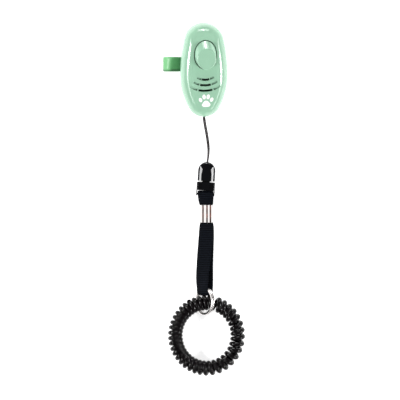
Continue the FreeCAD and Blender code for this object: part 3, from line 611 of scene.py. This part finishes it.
def build_strap():
    """One length of ribbed webbing, folded round the ring and round the buckle's bar."""
    rows, length = even_rows(smooth_values(STRAP_ROUTE, 12), RIB_PITCH / 6)
    columns = 9
    rings = []
    for index, (x, y, z, twist, width) in enumerate(rows):
        ahead = Vector(rows[min(index + 1, len(rows) - 1)][:3])
        behind = Vector(rows[max(index - 1, 0)][:3])
        along = (ahead - behind).normalized()
        lean = math.radians(twist)
        side = Vector((math.cos(lean), 0, math.sin(lean)))
        side = (side - along * side.dot(along)).normalized()
        normal = along.cross(side)
        rib = RIB_HEIGHT * math.cos(2 * math.pi * index / 6)
        half = STRAP_THICK / 2
        ring = []
        for face in (1, -1):
            for step in range(columns):
                across = face * (2 * step / (columns - 1) - 1)
                edge = 1 - abs(across) ** 12 * 0.55
                height = face * (half + rib * 0.5 - RIB_HEIGHT * 0.5) * edge
                point = Vector((x, y, z)) + side * across * width / 2 + normal * height
                ring.append(point * MM)
        rings.append(ring)
    strap = sweep("strap_webbing", rings)
    place(strap, "strap", "webbing", "webbing", "strap")


# ---- finger band -------------------------------------------------------------------------

BAND_THICK = 1.8
BAND_LOW_Y, BAND_HIGH_Y = 89.9, 99.9
BAND_EDGE = 0.45
BAND_CORNER = 0.13
BAND_ROOM = 0.75
CASE_BACK = -11.06


def build_band():
    """The soft loop, pressed flat between the table and the case, with rounded edges."""
    low, high = (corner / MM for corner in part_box("finger_band"))
    origin = CASE_ORIGIN / MM
    front, back = BAND_LOW_Y, BAND_HIGH_Y
    edge, corner = BAND_EDGE, BAND_CORNER

    def lid(x, y):
        """The height of the plane just under the case's back."""
        down = CASE_BACK - case_out.x * (x - origin.x) - case_out.y * (y - origin.y)
        return origin.z + down / case_out.z

    slope = lid(1, 0) - lid(0, 0)
    lean = 1 + math.hypot(1, slope)
    tilt = math.degrees(math.atan(slope))
    profile = [(front + edge, 0.0), (front + corner, corner), (front, edge)]
    profile += [(front, BAND_THICK - edge), (front + corner, BAND_THICK - corner)]
    profile += [(front + edge + (back - front - 2 * edge) * step / 6, BAND_THICK)
                for step in range(7)]
    profile += [(back - corner, BAND_THICK - corner), (back, BAND_THICK - edge), (back, edge)]
    profile += [(back - corner, corner)]
    profile += [(back - edge - (back - front - 2 * edge) * step / 6, 0.0) for step in range(7)]
    steps = 24
    columns = []
    for y, inset in profile:
        height = lid(0, y)
        left = (low.x + height / lean) / (1 - slope / lean)
        right = (high.x - BAND_ROOM - height / lean) / (1 + slope / lean)
        column = []
        for centre_x, start, sweep_by in ((right, -90, 180 + tilt), (left, 90 + tilt, 180 - tilt)):
            radius = (height + slope * centre_x) / lean
            for step in range(steps + 1):
                angle = math.radians(start + sweep_by * step / steps)
                reach = radius - inset
                column.append(mm(centre_x + reach * math.cos(angle), y,
                                 radius + reach * math.sin(angle)))
        columns.append(column)
    count = len(columns[0])
    rings = [[column[index] for column in columns] for index in range(count)]
    band = sweep("finger_band_loop", rings, closed=True)
    place(band, "case", "band_rubber", "band", "finger_band")


# ---- printed paw -------------------------------------------------------------------------

PAW_AT = (0.44, -20.1)
PAW_TOES = ((-3.9, 1.2, 1.15, 1.65, 24), (-1.45, 3.4, 1.2, 1.8, 8),
            (1.45, 3.4, 1.2, 1.8, -8), (3.9, 1.2, 1.15, 1.65, -24))
PAINT_TOP = 9.03
PAINT_THICK = 0.05
PAD_RADIUS, PAD_LOBES = 2.55, 0.32
PAD_DROP = 1.9


def printed_patch(name, outline):
    """A thin film of paint on the case's flat front; outline is in millimetres."""
    vertices = [in_case(x, y, z) for z in (PAINT_TOP - PAINT_THICK, PAINT_TOP) for x, y in outline]
    count = len(outline)
    faces = [tuple(range(count))[::-1], tuple(range(count, 2 * count))]
    faces += [(i, (i + 1) % count, count + (i + 1) % count, count + i) for i in range(count)]
    return mesh_object(name, vertices, faces, False)


def build_print():
    """A plain paw, made of four toes and a three-lobed pad."""
    patches = []
    for number, (x, y, wide, tall, turn) in enumerate(PAW_TOES):
        lean = math.radians(turn)
        outline = []
        for step in range(28):
            angle = 2 * math.pi * step / 28
            a, b = wide * math.cos(angle), tall * math.sin(angle)
            outline.append((PAW_AT[0] + x + a * math.cos(lean) - b * math.sin(lean),
                            PAW_AT[1] + y + a * math.sin(lean) + b * math.cos(lean)))
        patches.append(printed_patch(f"paw_toe_{number}", outline))
    pad = []
    for step in range(60):
        angle = 2 * math.pi * step / 60
        reach = PAD_RADIUS + PAD_LOBES * math.cos(3 * (angle - math.pi / 2))
        pad.append((PAW_AT[0] + 1.12 * reach * math.cos(angle),
                    PAW_AT[1] - PAD_DROP + 0.88 * reach * math.sin(angle)))
    patches.append(printed_patch("paw_pad", pad))
    for patch in patches:
        place(patch, "case", "print_white", "print")


# ---- crimp grooves -----------------------------------------------------------------------

GROOVE_OFFSETS = (-2.5, 0.3, 2.65)
GROOVE_RADIUS = 0.55
GROOVE_LIFT = 0.25
GROOVE_HALF_WIDTH = 0.49
GROOVE_DEPTH = 0.55
GROOVE_INSET = 0.02


def build_crimp_grooves():
    """Painted reflection and shade: dark red-brown strips at the bottom of the crimp's three pressed grooves."""
    low, high = (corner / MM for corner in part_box("crimp"))
    middle = (low.x + high.x) / 2
    for number, offset in enumerate(GROOVE_OFFSETS):
        centre = middle + offset
        rings = []
        for y in (low.y + GROOVE_INSET, high.y - GROOVE_INSET):
            ring = []
            for step in range(13):
                angle = math.radians(208 + 124 * step / 12)
                ring.append(mm(centre + GROOVE_RADIUS * math.cos(angle), y,
                               high.z + GROOVE_LIFT + GROOVE_RADIUS * math.sin(angle)))
            ring += [mm(centre + GROOVE_HALF_WIDTH, y, high.z - GROOVE_DEPTH),
                     mm(centre - GROOVE_HALF_WIDTH, y, high.z - GROOVE_DEPTH)]
            rings.append(ring)
        groove = sweep(f"crimp_groove_{number}", rings)
        place(groove, "strap", "crimp_nickel", "groove_reflection_shade")


build_camera()
build_floor()
build_lights()
build_cord()
build_coil()
build_ring()
build_strap()
build_band()
build_print()
build_crimp_grooves()
dress_cad_nodes()
